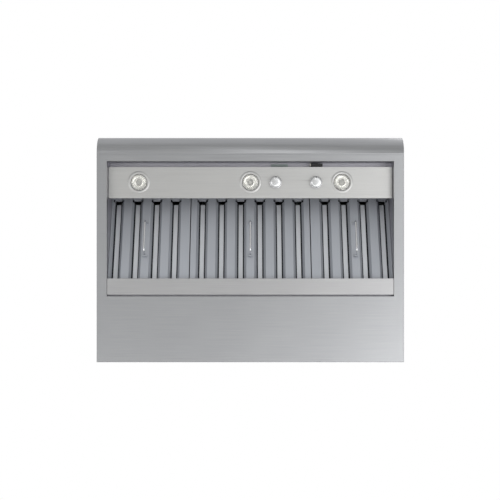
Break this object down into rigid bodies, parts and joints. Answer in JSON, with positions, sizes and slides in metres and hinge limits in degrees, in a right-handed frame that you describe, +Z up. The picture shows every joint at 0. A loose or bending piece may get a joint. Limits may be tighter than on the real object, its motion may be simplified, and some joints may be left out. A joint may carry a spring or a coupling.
{
  "type": "island range hood",
  "caption": "Ceiling-hung stainless range hood with rolled front nose, drop-down baffle filters, grease tray, knobs, lamps, blower, duct collar and telescoping flue cover.",
  "frame": {"origin": "middle of the underside rim's box, in the plane of the rim", "axes": "+X to the cook's right when standing at the rolled nose and facing the hood, +Y from the nose to the plain rear face, +Z up to the ceiling"},
  "size_m": [0.914, 0.672, 0.997],
  "materials": {
    "canopy_steel": "stainless sheet, brushed left to right, satin",
    "liner_steel": "stainless sheet, plain mill finish",
    "panel_steel": "stainless sheet, fine brushed, light satin",
    "baffle_steel": "stainless sheet, bright rolled, brushed along the baffles",
    "polished_steel": "polished",
    "lamp_glass": "frosted rim, clear middle",
    "galvanised_steel": "hot-dip galvanised, faint spangle",
    "zinc_fasteners": "bright zinc plate",
    "motor_paint": "dark grey enamel",
    "board_lacquer": "green solder lacquer on a circuit board",
    "black_plastic": "moulded, fine texture"
  },
  "bodies": {
    "canopy": {"underside_frame": "canopy_steel", "left_end_panel": "canopy_steel", "right_end_panel": "canopy_steel", "rear_panel": "canopy_steel", "bullnose_front": "canopy_steel", "canopy_hip": "canopy_steel", "flue_upper": "canopy_steel", "left_liner": "liner_steel", "right_liner": "liner_steel", "filter_front_rail": "liner_steel", "filter_rear_rail": "liner_steel", "control_panel": "panel_steel", "lamp_1_trim": "panel_steel", "lamp_2_trim": "panel_steel", "lamp_3_trim": "panel_steel", "lamp_1_bulb": "lamp_glass", "lamp_2_bulb": "lamp_glass", "lamp_3_bulb": "lamp_glass", "top_plate": "galvanised_steel", "blower_wrapper": "galvanised_steel", "blower_side_left": "galvanised_steel", "blower_side_right": "galvanised_steel", "motor_bracket": "galvanised_steel", "duct_collar": "galvanised_steel", "junction_box": "galvanised_steel", "hanger_frame_lower": "galvanised_steel", "hanger_frame_upper": "galvanised_steel", "ceiling_bracket": "galvanised_steel", "catch_plungers": "zinc_fasteners", "panel_screws": "zinc_fasteners", "damper_pin": "zinc_fasteners", "hanger_bolts": "zinc_fasteners", "blower_motor": "motor_paint", "wiring_connector": "black_plastic", "fan_switch": "black_plastic", "light_dimmer": "black_plastic", "supply_gland": "black_plastic", "fan_board": "board_lacquer"},
    "fan_knob": {"fan_knob": "polished_steel", "fan_spindle": "zinc_fasteners"},
    "light_knob": {"light_knob": "polished_steel", "light_spindle": "zinc_fasteners"},
    "filter_1": {"filter_1_frame": "baffle_steel", "filter_1_lower_baffles": "baffle_steel", "filter_1_upper_baffles": "baffle_steel"},
    "filter_2": {"filter_2_frame": "baffle_steel", "filter_2_lower_baffles": "baffle_steel", "filter_2_upper_baffles": "baffle_steel"},
    "filter_3": {"filter_3_frame": "baffle_steel", "filter_3_lower_baffles": "baffle_steel", "filter_3_upper_baffles": "baffle_steel"},
    "handle_1": {"filter_1_handle": "polished_steel"},
    "handle_2": {"filter_2_handle": "polished_steel"},
    "handle_3": {"filter_3_handle": "polished_steel"},
    "tray": {"grease_tray": "panel_steel"},
    "wheel": {"blower_wheel": "galvanised_steel", "motor_shaft": "zinc_fasteners"},
    "damper_front": {"damper_flap_front": "galvanised_steel"},
    "damper_rear": {"damper_flap_rear": "galvanised_steel"},
    "flue_cover": {"flue_lower": "canopy_steel"}
  },
  "joints": [
    {"name": "fan_knob_turn", "type": "hinge", "parent": "canopy", "child": "fan_knob", "pos_m": [0.076, -0.2012, 0.03], "axis": [0, 0, -1], "range_deg": [0, 270]},
    {"name": "light_knob_turn", "type": "hinge", "parent": "canopy", "child": "light_knob", "pos_m": [0.197, -0.2012, 0.03], "axis": [0, 0, -1], "range_deg": [0, 270]},
    {"name": "filter_1_swing", "type": "hinge", "parent": "canopy", "child": "filter_1", "pos_m": [0, -0.1612, 0.122], "axis": [-1, 0, 0], "range_deg": [0, 50]},
    {"name": "filter_2_swing", "type": "hinge", "parent": "canopy", "child": "filter_2", "pos_m": [0, -0.1612, 0.122], "axis": [-1, 0, 0], "range_deg": [0, 50]},
    {"name": "filter_3_swing", "type": "hinge", "parent": "canopy", "child": "filter_3", "pos_m": [0, -0.1612, 0.122], "axis": [-1, 0, 0], "range_deg": [0, 50]},
    {"name": "handle_1_swing", "type": "hinge", "parent": "filter_1", "child": "handle_1", "pos_m": [-0.318, -0.02983, 0.05512], "axis": [0, 0.9225, -0.3859], "range_deg": [-75, 75]},
    {"name": "handle_2_swing", "type": "hinge", "parent": "filter_2", "child": "handle_2", "pos_m": [0, -0.02983, 0.05512], "axis": [0, 0.9225, -0.3859], "range_deg": [-75, 75]},
    {"name": "handle_3_swing", "type": "hinge", "parent": "filter_3", "child": "handle_3", "pos_m": [0.318, -0.02983, 0.05512], "axis": [0, 0.9225, -0.3859], "range_deg": [-75, 75]},
    {"name": "tray_drop", "type": "slide", "parent": "canopy", "child": "tray", "axis": [0, 0, -1], "range_m": [0, 0.06]},
    {"name": "wheel_spin", "type": "hinge", "parent": "canopy", "child": "wheel", "pos_m": [0, -0.073, 0.315], "axis": [1, 0, 0], "continuous": true},
    {"name": "damper_front_swing", "type": "hinge", "parent": "canopy", "child": "damper_front", "pos_m": [0, 0, 0.48], "axis": [-1, 0, 0], "range_deg": [0, 75]},
    {"name": "damper_rear_swing", "type": "hinge", "parent": "canopy", "child": "damper_rear", "pos_m": [0, 0, 0.48], "axis": [1, 0, 0], "range_deg": [0, 75]},
    {"name": "flue_cover_lift", "type": "slide", "parent": "canopy", "child": "flue_cover", "axis": [0, 0, 1], "range_m": [0, 0.22]}
  ]
}
